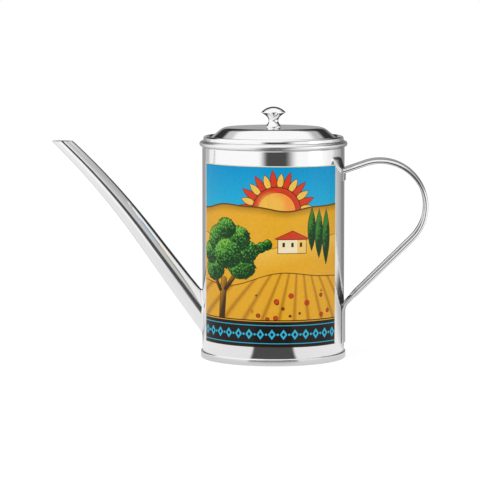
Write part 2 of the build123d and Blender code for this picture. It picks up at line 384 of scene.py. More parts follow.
SEAM_BEND = 0.5 * MM
SEAM_GAP = 0.03 * MM
NECK_BEND = 2.0 * MM
RIM_CURL_TURN = 268
WELD_EDGE = 1 * MM


def can_wall():
    wall = can_radius - SHEET / 2
    curl = rim_bead_radius - SHEET / 2
    foot_z = SHEET + SEAM_BEND + SEAM_GAP
    neck_turn = degrees(acos(1 - (wall - can_radius + curl) / (2 * NECK_BEND)))
    side_top = rim_bead_z - 2 * NECK_BEND * sin(radians(neck_turn))
    hole_low = weld_low + WELD_EDGE
    hole_high = weld_high - WELD_EDGE
    moves = (
        (hole_low - foot_z,),
        (hole_high - hole_low,),
        (side_top - hole_high,),
        (NECK_BEND, neck_turn),
        (NECK_BEND, -neck_turn),
        (curl, -RIM_CURL_TURN),
    )
    return spun(thicken(walk((wall, foot_z), 90, moves), SHEET))


def base_pan():
    inner_leg = can_radius - 1.5 * SHEET - SEAM_GAP
    outer_leg = seam_radius - SHEET / 2
    panel_height = 3.2 * MM
    panel_bend = 1.2 * MM
    shoulder = 0.45 * MM
    drop = panel_height - panel_bend - SHEET / 2 - SEAM_BEND
    seat = outer_leg - inner_leg - 2 * SEAM_BEND
    skirt = seam_height - SHEET - SEAM_BEND - shoulder
    lean = outer_leg - shoulder - can_radius - SEAM_GAP
    moves = (
        (inner_leg - panel_bend,),
        (panel_bend, -90),
        (drop,),
        (SEAM_BEND, 90),
        (seat,),
        (SEAM_BEND, 90),
        (skirt,),
        (shoulder, 90),
        (lean,),
    )
    return spun(thicken(walk((0, panel_height), 0, moves), SHEET), closed=False)


finish_piece("can_base", base_pan(), BASE_STEEL, "can", "base_pan")


# Spout: rings along a straight run and a long bend, cut level at the tip

SPOUT_ROOT_Z = 28 * MM
SPOUT_RISE = radians(53.5)
SPOUT_STRAIGHT = 61.6 * MM
SPOUT_BEND = 454 * MM
SPOUT_ROOT_RADIUS = 8.1 * MM
SPOUT_TIP_RADIUS = 4.6 * MM
SPOUT_GAP = 0.02 * MM
SPOUT_SIDES = 96
SPOUT_RINGS = 64
FIRST_RING = 22 * MM
PLUG_REACH = 14 * MM
WELD_SIZE = 1.8 * MM
WELD_STEPS = 8


def spout_place(length):
    """The spout's middle line: the point and the direction at a length from the wall."""
    turned = max(length - SPOUT_STRAIGHT, 0) / SPOUT_BEND
    rise = SPOUT_RISE - turned
    straight = min(length, SPOUT_STRAIGHT) * Vector((-cos(SPOUT_RISE), 0, sin(SPOUT_RISE)))
    bent = SPOUT_BEND * Vector((sin(rise) - sin(SPOUT_RISE), 0, cos(rise) - cos(SPOUT_RISE)))
    return Vector((-can_radius, 0, SPOUT_ROOT_Z)) + straight + bent, Vector((-cos(rise), 0, sin(rise)))


def spout_length():
    """The length of the middle line from the wall to the height of the tip."""
    bend, _ = spout_place(SPOUT_STRAIGHT)
    tip_rise = acos(cos(SPOUT_RISE) + (spout_tip_z - bend.z) / SPOUT_BEND)
    return SPOUT_STRAIGHT + SPOUT_BEND * (SPOUT_RISE - tip_rise)


def spout_ring(length, inset):
    """One ring of the spout's skin, square to its middle line."""
    point, way = spout_place(length)
    taper = (SPOUT_ROOT_RADIUS - SPOUT_TIP_RADIUS) / spout_length()
    radius = SPOUT_ROOT_RADIUS - taper * length - inset
    side = Vector((0, 1, 0))
    over = way.cross(side)
    turns = [2 * pi * step / SPOUT_SIDES for step in range(SPOUT_SIDES)]
    return [point + radius * (cos(turn) * side + sin(turn) * over) for turn in turns]


def onto_wall(point, way, radius):
    """Where the line through a point meets a round wall, on the side that the direction points to."""
    a = way.x**2 + way.y**2
    b = point.x * way.x + point.y * way.y
    c = point.x**2 + point.y**2 - radius**2
    return point + way * (-b + sqrt(max(b * b - a * c, 0))) / a


def root_ring(inset, out=0.0):
    """The ring where the spout's skin meets the wall, or further out along the spout."""
    _, way = spout_place(0)
    return [onto_wall(point, way, can_radius + SPOUT_GAP) + way * out for point in spout_ring(0, inset)]


def spout_skin(inset):
    """Rings from the wall to past the tip, then cut at the tip."""
    past = spout_length() + 3 * SPOUT_TIP_RADIUS
    stops = [FIRST_RING + (past - FIRST_RING) * step / SPOUT_RINGS for step in range(SPOUT_RINGS + 1)]
    rings = [root_ring(inset), root_ring(inset, SUPPORT)] + [spout_ring(stop, inset) for stop in stops]
    bm = lofted(rings, ends="open")
    bmesh.ops.bisect_plane(
        bm,
        geom=bm.verts[:] + bm.edges[:] + bm.faces[:],
        plane_co=(0, 0, spout_tip_z),
        plane_no=(0, 0, 1),
        clear_outer=True,
    )
    return bm


def spout_tube():
    """The outer and the inner skin, joined at the tip and at the root."""
    whole = bmesh.new()
    for inset in (0, SHEET):
        skin = spout_skin(inset)
        mesh = bpy.data.meshes.new("skin")
        skin.to_mesh(mesh)
        skin.free()
        whole.from_mesh(mesh)
        bpy.data.meshes.remove(mesh)
    rims = [edge for edge in whole.edges if len(edge.link_faces) == 1]
    tip = [edge for edge in rims if edge.verts[0].co.z > spout_tip_z - SUPPORT]
    root = [edge for edge in rims if edge.verts[0].co.z < spout_tip_z - SUPPORT]
    for rim in (tip, root):
        bmesh.ops.bridge_loops(whole, edges=rim)
    return whole


def spout_weld():
    """The fillet of weld round the spout's root, from the wall up onto the tube."""
    corner = root_ring(-SPOUT_GAP)
    tube = root_ring(-SPOUT_GAP, WELD_SIZE)
    centre = sum(corner, Vector()) / len(corner)
    wall = []
    for point in corner:
        spread = point + (point - centre).normalized() * WELD_SIZE
        flat = Vector((spread.x, spread.y, 0)).normalized() * (can_radius + SPOUT_GAP)
        wall.append(Vector((flat.x, flat.y, spread.z)))
    rings = []
    for share in [0] + even_shares(WELD_STEPS):
        ring = [
            (1 - share) ** 2 * foot + 2 * share * (1 - share) * bend + share**2 * top
            for foot, bend, top in zip(wall, corner, tube)
        ]
        rings.append(ring)
    return lofted(rings + [corner], ends="join")


def spout_plug():
    """A closed form as wide as the bore, through the wall at the spout's root."""
    return lofted([spout_ring(stop, SHEET) for stop in (-PLUG_REACH, 0, PLUG_REACH)])


holed_wall = combined(can_wall(), spout_plug(), "DIFFERENCE")
finish_piece("can_wall", holed_wall, WALL_STEEL, "can", "body_shell")
finish_piece("spout", spout_tube(), TUBE_STEEL, "can", "spout_tube")
finish_piece("spout_weld_bead", spout_weld(), TUBE_STEEL, "can", "spout_weld")


# Handle: one strip with rolled edges, from the foot tang round the grip to the top tang

STRAP_WIDTH = 24 * MM
STRAP_SHEET = 0.8 * MM
STRAP_CROWN = 0.3 * MM
STRAP_ROLL = 1.4 * MM
STRAP_BEND_STEP = 3
EASING_RINGS = 10
FACE_POINTS = 12
BEAD_POINTS = 20
WALL_GAP = 0.06 * MM
STRAP_FOOT_Z = 32.2 * MM
STRAP_TOP_Z = rim_top - 16.9 * MM
GRIP_RADIUS = 29.9 * MM
GRIP_CENTRE = Vector((can_radius + 22.4 * MM, rim_top - 41.0 * MM))
FOOT_BEND = 7.2 * MM
FOOT_EASING = 9.0 * MM
FOOT_TANG_END = 9.9 * MM
TOP_TANG_LENGTH = 7.5 * MM


def arc_through(left, middle, right, count):
    """Points on the circle through three points, from left to right."""
    a = left - middle
    b = right - middle
    cross = 2 * (a.x * b.y - a.y * b.x)
    centre = Vector((b.y * a.dot(a) - a.y * b.dot(b), a.x * b.dot(b) - b.x * a.dot(a))) / cross + middle
    first = left - centre
    turn = first.angle_signed(right - centre)
    half = first.angle_signed(middle - centre)
    if half * turn < 0 or abs(half) > abs(turn):
        turn -= 2 * pi if turn > 0 else -2 * pi
    points = []
    for step in range(count + 1):
        way = -turn * step / count
        spoke = Vector((first.x * cos(way) - first.y * sin(way), first.x * sin(way) + first.y * cos(way)))
        points.append(centre + spoke)
    return points


def other_side(point):
    return Vector((-point.x, point.y))


def strap_outline(sag, roll):
    """The strap's section: a thin crowned sheet with its edges rolled under, as points (side, out)."""
    thin = STRAP_SHEET / 2
    half = STRAP_WIDTH / 2 - roll
    edge = thin - sag
    bite = 2 * sqrt(max(thin * (roll - thin), 0))
    over = Vector((half, edge))
    under = Vector((half - bite, edge - STRAP_SHEET))
    outer = arc_through(other_side(over), Vector((0, thin)), over, FACE_POINTS)
    bead = arc_through(over, Vector((half + roll, edge - roll)), under, BEAD_POINTS)
    inner = arc_through(under, Vector((0, -thin)), other_side(under), FACE_POINTS)
    other = [other_side(point) for point in bead[::-1]]
    return outer[:-1] + bead[:-1] + inner[:-1] + other[:-1]


def strap_ring(point, heading, sag, roll):
    way = radians(heading)
    out = Vector((sin(way), 0, -cos(way)))
    place = Vector((point.x, 0, point.y))
    return [place + Vector((0, -spot.x, 0)) + out * spot.y for spot in strap_outline(sag, roll)]


def tangent_way(point, side):
    """The direction from a point to where its line touches the grip's circle, and how far that is."""
    away = GRIP_CENTRE - point
    way = atan2(away.y, away.x) + side * asin(GRIP_RADIUS / away.length)
    return way, sqrt(away.length**2 - GRIP_RADIUS**2)


def strap_rings():
    """The rings of the whole strap, and those of the short tang under its upper joint."""
    thin = STRAP_SHEET / 2
    wall_x = can_radius + WALL_GAP + thin
    tang_radius = wall_x + thin
    tang_sag = tang_radius - sqrt(tang_radius**2 - (STRAP_WIDTH / 2 - thin) ** 2)
    foot_way, foot_reach = tangent_way(Vector((wall_x, STRAP_FOOT_Z)), -1)
    top_way, top_reach = tangent_way(Vector((wall_x, STRAP_TOP_Z)), 1)
    foot_turn = degrees(foot_way) - 90
    foot_cut = FOOT_BEND * tan(radians(abs(foot_turn)) / 2)
    grip_turn = (degrees(top_way) + 180 - degrees(foot_way)) % 360
    foot_tang = STRAP_FOOT_Z - foot_cut - FOOT_TANG_END
    flat = (tang_sag, thin)
    rolled = (STRAP_CROWN, STRAP_ROLL)
    stretches = (
        ((foot_tang,), flat, flat),
        ((FOOT_BEND, foot_turn), flat, flat),
        ((FOOT_EASING,), flat, rolled),
        ((foot_reach - foot_cut - FOOT_EASING,), rolled, rolled),
        ((GRIP_RADIUS, grip_turn), rolled, rolled),
        ((top_reach,), rolled, rolled),
    )
    here = Vector((wall_x, FOOT_TANG_END))
    heading = 90.0
    rings = [strap_ring(here, heading, *flat)]
    for move, start, end in stretches:
        if len(move) == 2:
            shares = bend_shares(move[1], STRAP_BEND_STEP, 4)
        else:
            shares = run_shares(move[0]) if start == end else even_shares(EASING_RINGS)
        places = [along(here, heading, move, share) for share in shares]
        for share, (point, turned) in zip(shares, places):
            eased = share**2 * (3 - 2 * share)
            sag = start[0] + (end[0] - start[0]) * eased
            roll = start[1] + (end[1] - start[1]) * eased
            rings.append(strap_ring(point, turned, sag, roll))
        here, heading = places[-1]
    outward = Vector((-cos(radians(heading)), 0, -sin(radians(heading))))
    rings[-1] = [onto_wall(spot, outward, can_radius + WALL_GAP) for spot in rings[-1]]
    tang_heights = (STRAP_TOP_Z - TOP_TANG_LENGTH, STRAP_TOP_Z)
    return rings, [strap_ring(Vector((wall_x, height)), 90.0, *flat) for height in tang_heights]


strap, tang = (lofted(rings) for rings in strap_rings())
finish_piece("handle", combined(strap, tang, "UNION"), STRAP_STEEL, "can", "handle_strap")


# Lid: the pressed shell with its turned-down lip, and the skirt under it

SCREW_HOLE = 1.55 * MM


def lid_shell():
    """From the screw hole over the plateau, the shoulder and the flange to the curl under the lip."""
    plateau_z = lid_top - SHEET / 2
    corner = 1.05 * MM
    lean = radians(12)
    face = 7.75 * MM
    face_turn = -11
    curl = 0.45 * MM
    curl_turn = -130
    lip_bend = 1.0 * MM
    lip_rise = 1.1 * MM
    dome_rise = 6.6 * MM
    dome_run = 7.9 * MM
    edge_bend = 8.0 * MM
    foot_bend = 0.9 * MM
    crown_r = lid_radius - SHEET / 2 - corner * cos(lean) - face * (1 - cos(lean))
    rise_turn = acos(1 - lip_rise / (lip_bend + corner))
    flange_end = crown_r - (lip_bend + corner) * sin(rise_turn)
    foot_r = can_radius - 5.25 * MM
    slope = atan2(dome_rise, dome_run)
    edge_cut = edge_bend * tan(slope / 2)
    foot_cut = foot_bend * tan(slope / 2)
    moves = (
        (foot_r - dome_run - edge_cut - SCREW_HOLE,),
        (edge_bend, -degrees(slope)),
        (hypot(dome_rise, dome_run) - edge_cut - foot_cut,),
        (foot_bend, degrees(slope)),
        (flange_end - foot_r - foot_cut,),
        (lip_bend, degrees(rise_turn)),
        (corner, degrees(lean - rise_turn) - 90),
        (face, face_turn),
        (curl, curl_turn),
    )
    return spun(thicken(walk((SCREW_HOLE, plateau_z), 0, moves), SHEET))


def lid_skirt():
    low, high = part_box("lid_skirt")
    middle = high.x - SHEET / 2
    lead_bend = 1.2 * MM
    lead = 60
    drop = lead_bend * sin(radians(lead)) + SHEET / 2 * cos(radians(90 - lead))
    moves = ((high.z - low.z - drop,), (lead_bend, -lead))
    return spun(thicken(walk((middle, high.z), -90, moves), SHEET))


finish_piece("lid", lid_shell(), LID_STEEL, "lid", "lid_shell")
finish_piece("lid_guide_ring", lid_skirt(), LID_STEEL, "lid", "lid_skirt")


# Knob: a turned spool with a flared foot and a lens-shaped cap

KNOB_FOOT_RADIUS = 4.8 * MM
KNOB_FOOT_EDGE = 0.5 * MM
KNOB_NECK_RADIUS = 3.1 * MM
KNOB_NECK_Z = 4.1 * MM
KNOB_CAP_Z = 9.0 * MM
KNOB_CAP_EDGE = 0.4 * MM
KNOB_FLARE = 0.6
KNOB_SIDES = 96
KNOB_FOOT_STEPS = 12
KNOB_CAP_STEPS = 16


def curve_between(start, start_way, end, end_way, count):
    """A smooth curve between two points that leaves and arrives along given ways."""
    return [
        (2 * t**3 - 3 * t**2 + 1) * start
        + (t**3 - 2 * t**2 + t) * start_way
        + (-2 * t**3 + 3 * t**2) * end
        + (t**3 - t**2) * end_way
        for t in even_shares(count)
    ]


def lid_knob():
    foot = Vector((KNOB_FOOT_RADIUS, KNOB_FOOT_EDGE))
    neck = Vector((KNOB_NECK_RADIUS, KNOB_NECK_Z))
    cap = Vector((knob_radius, KNOB_CAP_Z))
    lower = (neck - foot).length
    upper = (cap - neck).length
    leaving = Vector((-KNOB_FLARE, 1)).normalized() * lower
    arriving = Vector((1, KNOB_FLARE)).normalized() * upper
    outline = [Vector((0, 0)), Vector((KNOB_FOOT_RADIUS - SUPPORT, 0)), Vector((KNOB_FOOT_RADIUS, 0)), foot]
    outline += curve_between(foot, leaving, neck, Vector((0, lower)), KNOB_FOOT_STEPS)
    outline += curve_between(neck, Vector((0, upper)), cap, arriving, KNOB_CAP_STEPS)
    edge = cap + Vector((0, KNOB_CAP_EDGE))
    outline.append(edge)
    rise = knob_height - edge.y
    crown = (knob_radius**2 + rise**2) / (2 * rise)
    spread = atan2(knob_radius, crown - rise)
    for share in even_shares(KNOB_CAP_STEPS):
        way = spread * (1 - share)
        outline.append(Vector((crown * sin(way), knob_height - crown * (1 - cos(way)))))
    return spun([Vector((p.x, p.y + knob_bottom)) for p in outline], closed=False, steps=KNOB_SIDES)


finish_piece("knob", lid_knob(), KNOB_STEEL, "lid", "lid_knob")
for node in ("knob_screw", "knob_washer"):
    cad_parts[node].data.materials.clear()
    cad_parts[node].data.materials.append(SCREW_STEEL)


# Printed film: a bent sheet with its own UV map, in millimetres across and up

LABEL_WIDTH = 100.6 * MM
LABEL_HEIGHT = 112 * MM
LABEL_BOTTOM = 11.7 * MM
LABEL_TURN = radians(-3.7)
LABEL_TILT = radians(0.55)
FILM = 0.12 * MM
FILM_COLUMNS = 160
FILM_ROWS = 24


def film_sheet():
    radius = can_radius + WALL_GAP
    bm = bmesh.new()
    uv = bm.loops.layers.uv.new("print")
    across = Matrix.Diagonal((LABEL_WIDTH / 2, LABEL_HEIGHT / 2, 1, 1))
    bmesh.ops.create_grid(bm, x_segments=FILM_COLUMNS, y_segments=FILM_ROWS, size=1, matrix=across)
    for face in bm.faces:
        for loop in face.loops:
            spot = loop.vert.co
            loop[uv].uv = (spot.x / LABEL_WIDTH + 0.5, spot.y / LABEL_HEIGHT + 0.5)
    for vert in bm.verts:
        angle = vert.co.x / can_radius
        height = vert.co.y
        x = radius * sin(angle) * cos(LABEL_TILT) + height * sin(LABEL_TILT)
        y = -radius * cos(angle)
        z = height * cos(LABEL_TILT) - radius * sin(angle) * sin(LABEL_TILT)
        spoke = Matrix.Rotation(LABEL_TURN, 2) @ Vector((x, y)).normalized() * radius
        vert.co = (spoke.x, spoke.y, LABEL_BOTTOM + LABEL_HEIGHT / 2 + z)
    bmesh.ops.recalc_face_normals(bm, faces=bm.faces)
    first = bm.faces[:][0]
    if first.normal.dot(first.calc_center_median().xy.to_3d()) < 0:
        bmesh.ops.reverse_faces(bm, faces=bm.faces)
    bmesh.ops.solidify(bm, geom=bm.faces[:], thickness=-FILM)
    return bm


# Print: a farm landscape, drawn in millimetres on the film


def ink(red, green, blue):
    """A printed colour, from 0 to 255, as the shader needs it."""
    return tuple(((value / 255 + 0.055) / 1.055) ** 2.4 for value in (red, green, blue)) + (1,)


SKY_HIGH = ink(0, 144, 200)
SKY_LOW = ink(34, 172, 212)
GOLD = ink(224, 166, 44)
GOLD_DEEP = ink(206, 142, 34)
GOLD_PALE = ink(234, 188, 80)
OCHRE = ink(176, 126, 34)
UMBER = ink(66, 44, 22)
SOIL = ink(35, 28, 25)
RED = ink(206, 62, 36)
RED_DARK = ink(132, 34, 24)
ORANGE = ink(240, 150, 66)
GREEN_DARK = ink(22, 58, 26)
GREEN = ink(58, 128, 46)
GREEN_LIGHT = ink(128, 184, 70)
CREAM = ink(236, 222, 184)
CYAN = ink(48, 182, 216)
PRINTED_LIGHT = (-0.5, 0.8, 0)


def motif_group():
    """One printed motif: a lozenge, an oval or a block by its Power of 1, 2 or more, or a leaf. It gives
    the motif's mask, and how much each place on it faces the printed light."""
    inputs = (
        ("Place", "Vector", None),
        ("Centre", "Vector", None),
        ("Size", "Vector", (1, 1, 1)),
        ("Turn", "Float", 0.0),
        ("Power", "Float", 2.0),
        ("Leaf", "Float", 0.0),
        ("Ragged", "Float", 0.0),
        ("Soft", "Float", 0.03),
    )
    group, nodes, given, result = shader_group("motif", inputs, (("Mask", "Float"), ("Light", "Float")))
    away = nodes.vector("SUBTRACT", given["Place"], given["Centre"])
    turn = {"Vector": away, "Angle": given["Turn"]}
    turned = nodes.add("ShaderNodeVectorRotate", turn, rotation_type="Z_AXIS", invert=True).outputs[0]
    noise = nodes.noise(given["Place"], 0.9, 2.0)["Color"]
    shaken = nodes.scaled(nodes.vector("SUBTRACT", noise, (0.5, 0.5, 0.5)), given["Ragged"])
    spot = nodes.vector("ADD", nodes.vector("DIVIDE", turned, given["Size"]), shaken)
    across, up, _ = nodes.split(nodes.vector("ABSOLUTE", spot))
    powers = [nodes.math("POWER", side, given["Power"]) for side in (across, up)]
    inverse = nodes.math("DIVIDE", 1.0, given["Power"])
    round_depth = nodes.math("POWER", nodes.math("ADD", *powers), inverse)
    leaf_depth = nodes.math("MULTIPLY_ADD", up, up, across)
    depths = {0: given["Leaf"], 2: round_depth, 3: leaf_depth}
    depth = nodes.add("ShaderNodeMix", depths, data_type="FLOAT").outputs[0]
    edge = nodes.math("SUBTRACT", 1.0, given["Soft"])
    nodes.feed(result["Mask"], nodes.ranged(depth, edge, 1.0, 1.0, 0.0, smooth=True))
    nodes.feed(result["Light"], nodes.vector("DOT_PRODUCT", spot, PRINTED_LIGHT))
    return group


def ridge_group():
    """The wavy top of a hill. It gives the mask of all that lies below it, and how far below."""
    inputs = (
        ("Place", "Vector", None),
        ("Height", "Float", 50.0),
        ("Swell", "Float", 3.0),
        ("Length", "Float", 80.0),
        ("Shift", "Float", 0.0),
    )
    group, nodes, given, result = shader_group("ridge", inputs, (("Mask", "Float"), ("Below", "Float")))
    across, up, _ = nodes.split(given["Place"])
    turns = nodes.math("DIVIDE", nodes.math("SUBTRACT", across, given["Shift"]), given["Length"])
    waves = []
    for rate, share in ((1, 1.0), (2.3, 0.3)):
        wave = nodes.math("SINE", nodes.times(turns, 2 * pi * rate))
        waves.append(nodes.times(wave, share))
    line = nodes.math("MULTIPLY_ADD", nodes.math("ADD", *waves), given["Swell"], given["Height"])
    below = nodes.math("SUBTRACT", line, up)
    nodes.feed(result["Below"], below)
    nodes.feed(result["Mask"], nodes.ranged(below, -0.08, 0.08))
    return group


MOTIF = motif_group()
RIDGE = ridge_group()


class Print(Nodes):
    """A picture painted in layers on the film's own map, the furthest layer first."""

    def __init__(self, tree, place, base):
        super().__init__(tree)
        self.place = place
        self.across, self.up, _ = self.split(place)
        leaves = self.add("ShaderNodeTexVoronoi", {"Vector": place, "Scale": 0.75, "Randomness": 1.0})
        self.specks = self.ranged(leaves.outputs["Distance"], 0.65, 0.1)
        self.colour = base

    def paint(self, colour, *masks):
        """A layer of colour where all its masks are."""
        factor = masks[0]
        for mask in masks[1:]:
            factor = self.times(factor, mask)
        self.colour = self.mix(self.colour, colour, factor)

    def motif(self, centre, size, turn=0.0, place=None, **settings):
        """A motif node at a place and of a half size in millimetres, turned by degrees."""
        inputs = {name.capitalize(): value for name, value in settings.items()}
        inputs["Place"] = self.place if place is None else place
        inputs["Centre"] = (*centre, 0)
        inputs["Size"] = (*size, 1)
        inputs["Turn"] = radians(turn)
        return self.add("ShaderNodeGroup", inputs, node_tree=MOTIF).outputs

    def ridge(self, height, swell, length, shift):
        inputs = {"Place": self.place, "Height": height, "Swell": swell, "Length": length, "Shift": shift}
        return self.add("ShaderNodeGroup", inputs, node_tree=RIDGE).outputs


def paint_sky(art):
    height = art.ranged(art.up, 84, 112)
    art.paint(art.mix(SKY_LOW, SKY_HIGH, height), 1.0)


def paint_sun(art, centre=(56, 84)):
    """A half sun with a ring and pointed rays."""
    rays = 14
    reach = 18.5
    for outline, grow in ((UMBER, (0.4, 0.5)), (None, (0, 0))):
        for ray in range(rays):
            way = 180 * (ray + 0.5) / rays
            spot = (centre[0] + reach * cos(radians(way)), centre[1] + reach * sin(radians(way)))
            size = (1.9 + grow[0], (7.2 if ray % 2 else 5.2) + grow[1])
            colour = outline or (RED if ray % 2 else GOLD_PALE)
            art.paint(colour, art.motif(spot, size, way - 90, leaf=1.0)["Mask"])
    for size, colour in ((15.6, UMBER), (15.1, RED), (12.2, RED_DARK), (11.8, ORANGE)):
        art.paint(colour, art.motif(centre, (size, size), soft=0.015)["Mask"])
    glow = art.motif((centre[0] - 3, centre[1] + 3), (10.5, 10.5), soft=0.5)
    art.paint(GOLD_PALE, glow["Mask"], 0.8)


def paint_hills(art):
    far = art.ridge(86.5, 1.6, 66, 12)
    art.paint(GOLD, far["Mask"])
    art.paint(OCHRE, far["Mask"], art.ranged(far["Below"], 6.0, 0.0, smooth=True))
    art.paint(UMBER, far["Mask"], art.ranged(far["Below"], 1.3, 0.2, smooth=True))

    middle = art.ridge(66, 3.6, 92, -20)
    art.paint(GOLD_PALE, middle["Mask"])
    art.paint(GOLD, middle["Mask"], art.ranged(middle["Below"], 0.0, 14.0))
    art.paint(OCHRE, middle["Mask"], art.ranged(middle["Below"], 1.1, 0.2, smooth=True))

    near = art.ridge(42, 4.2, 120, 42)
    rows_meet = (70, 74, 0)
    rows = 38.0
    art.paint(GOLD, near["Mask"])
    x, y, _ = art.split(art.vector("SUBTRACT", art.place, rows_meet))
    wave = art.math("SINE", art.times(art.math("ARCTAN2", x, y), rows))
    art.paint(GOLD_DEEP, near["Mask"], art.ranged(wave, 0.1, 0.9, smooth=True))
    art.paint(OCHRE, near["Mask"], art.ranged(wave, 0.86, 0.98))
    art.paint(UMBER, near["Mask"], art.ranged(near["Below"], 0.9, 0.15, smooth=True))


def paint_tree(art, crowns, ragged=0.35):
    """Rounded masses of leaves: each crown is a place and a half size, the furthest first."""
    for centre, size in crowns:
        rim = art.motif(centre, (size[0] + 0.5, size[1] + 0.5), ragged=ragged, soft=0.02)
        art.paint(GREEN_DARK, rim["Mask"])
        mass = art.motif(centre, size, ragged=ragged, soft=0.02)
        leafy = art.math("MULTIPLY_ADD", art.specks, 0.9, art.ranged(mass["Light"], -0.6, 0.8))
        tone = art.mix(GREEN_DARK, GREEN, art.ranged(leafy, 0.45, 0.85))
        tone = art.mix(tone, GREEN_LIGHT, art.ranged(leafy, 0.95, 1.35))
        art.paint(tone, mass["Mask"])


def paint_trunk(art, centre, size, turn):
    bark = art.motif(centre, (size[0] + 0.4, size[1]), turn, power=6.0, ragged=0.12)
    art.paint(UMBER, bark["Mask"])
    wood = art.motif(centre, size, turn, power=6.0, ragged=0.12)
    art.paint(art.mix(UMBER, OCHRE, art.ranged(wood["Light"], -0.3, 0.9)), wood["Mask"])


def paint_house(art, centre):
    """A farmhouse with a red roof, from its wall up."""
    x, y = centre
    for size, colour in (((9.4, 5.0), UMBER), ((9.0, 4.6), CREAM)):
        art.paint(colour, art.motif((x, y), size, power=30.0, soft=0.02)["Mask"])
    shade = art.motif((x + 6, y), (3.0, 4.6), power=30.0)
    art.paint(GOLD_PALE, shade["Mask"], 0.8)
    for side in (-5.5, 0, 5.5):
        art.paint(UMBER, art.motif((x + side, y + 0.6), (0.8, 1.4), power=12.0)["Mask"])
    for grow, colour in ((0.5, UMBER), (0, RED)):
        roof = art.motif((x, y + 4.4), (11 + grow, 4.6 + grow), power=1.0, soft=0.02)
        above = art.ranged(art.up, y + 4.0 - grow, y + 4.2 - grow)
        art.paint(colour, roof["Mask"], above)


def paint_cypresses(art, places):
    for centre, size in places:
        rim = art.motif(centre, (size[0] + 0.5, size[1] + 0.8), leaf=1.0, ragged=0.1)
        art.paint(GREEN_DARK, rim["Mask"])
        body = art.motif(centre, size, leaf=1.0, ragged=0.1)
        lit = art.math("MULTIPLY_ADD", art.specks, 0.7, art.ranged(body["Light"], -0.4, 0.5))
        art.paint(art.mix(GREEN_DARK, GREEN, art.ranged(lit, 0.5, 1.1)), body["Mask"])


def paint_poppies(art):
    """Scattered red flowers on the near field."""
    cells = art.add("ShaderNodeTexVoronoi", {"Vector": art.place, "Scale": 0.19, "Randomness": 0.8}).outputs
    pick = art.add("ShaderNodeSeparateColor", {0: cells["Color"]}).outputs[0]
    chosen = art.ranged(pick, 0.4, 0.42)
    low = art.ranged(art.up, 36, 34)
    right = art.ranged(art.across, 40, 44)
    field = art.times(art.times(chosen, low), right)
    for colour, outer, inner in ((UMBER, 0.36, 0.32), (RED, 0.3, 0.26), (UMBER, 0.1, 0.07)):
        art.paint(colour, art.ranged(cells["Distance"], outer, inner), field)


def paint_border(art, top=17.0):
    """The dark foot of the print, with a row of lozenges and dots between two lines."""
    period = 7.18
    up = art.up
    art.paint(SOIL, art.ranged(up, top + 0.1, top - 0.1))
    art.paint(GOLD, art.ranged(up, top - 1.2, top - 1.1), art.ranged(up, top - 0.6, top - 0.7))
    for shift, size, power, colour in (
        (0.0, (2.5, 3.3), 1.0, CYAN),
        (0.0, (1.1, 1.5), 1.0, SOIL),
        (0.5, (0.75, 0.75), 2.0, CYAN),
    ):
        share = art.math("FRACT", art.math("MULTIPLY_ADD", art.across, 1 / period, shift))
        local = art.math("MULTIPLY_ADD", share, period, -period / 2)
        spot = art.add("ShaderNodeCombineXYZ", {"X": local, "Y": up}).outputs[0]
        art.paint(colour, art.motif((0, 8.0), size, place=spot, power=power, soft=0.06)["Mask"])
    for height in (2.4, 13.6):
        above = art.ranged(up, height - 0.25, height - 0.2)
        art.paint(CYAN, above, art.ranged(up, height + 0.25, height + 0.2))


def paint_margin(art, margin=0.5):
    """The pale edge of the film, and the dark line along its foot."""
    right = LABEL_WIDTH / MM - margin
    top = LABEL_HEIGHT / MM - margin
    for source, edge, inner in (
        (art.across, margin, margin + 0.1),
        (art.across, right, right - 0.1),
        (art.up, top, top - 0.1),
    ):
        art.paint(CREAM, art.ranged(source, inner, edge))
    art.paint(UMBER, art.ranged(art.up, margin + 0.1, margin))


def printed_film():
    material, nodes, shader = new_material("printed_film")
    flat = nodes.add("ShaderNodeUVMap", uv_map="print").outputs[0]
    place = nodes.vector("MULTIPLY", flat, (LABEL_WIDTH / MM, LABEL_HEIGHT / MM, 0))
    art = Print(material.node_tree, place, SKY_HIGH)
    paint_sky(art)
    paint_sun(art)
    paint_hills(art)
    paint_cypresses(art, (((79, 73), (2.6, 13)), ((84.5, 70), (2.8, 15)), ((90.5, 68), (3.0, 17))))
    paint_house(art, (66, 63))
    paint_tree(art, [((50.5 - 3.6 * step, 63.5 - 1.6 * step), (2.6, 3.0)) for step in range(4)])
    paint_trunk(art, (20, 28), (2.3, 15), -4)
    paint_trunk(art, (27, 41), (1.2, 9), -38)
    paint_trunk(art, (14, 40), (1.1, 8), 34)
    crowns = (
        ((12, 47), (9, 7)),
        ((34, 49), (9, 7)),
        ((8, 57), (7, 7)),
        ((37, 59), (7.5, 7)),
        ((15, 66), (9, 8)),
        ((31, 67), (8.5, 7.5)),
        ((23, 57), (11, 9)),
        ((22, 73), (7.5, 6)),
    )
    paint_tree(art, crowns)
    paint_poppies(art)
    paint_border(art)
    paint_margin(art)

    grain = nodes.noise(place, 0.5, 6.0, 0.6)["Fac"]
    nodes.feed(shader["Base Color"], nodes.scaled(art.colour, nodes.ranged(grain, 0.3, 0.7, 0.94, 1.05)))
    nodes.feed(shader["Roughness"], nodes.ranged(grain, 0.3, 0.7, 0.26, 0.34))
    shader["Specular IOR Level"].default_value = 0.04
    shader["Coat Weight"].default_value = 0.22
    shader["Coat Roughness"].default_value = 0.12
    return material


finish_piece("printed_wrap", film_sheet(), printed_film(), "can", "label_film")


# Studio: camera, floor, what the steel reflects, and soft lamps

CAMERA_PLACE = (0.0366, -1.6497, 0.2377)
CAMERA_TURN = 2.0
CAMERA_DIP = 5.67
LENS = 197.1

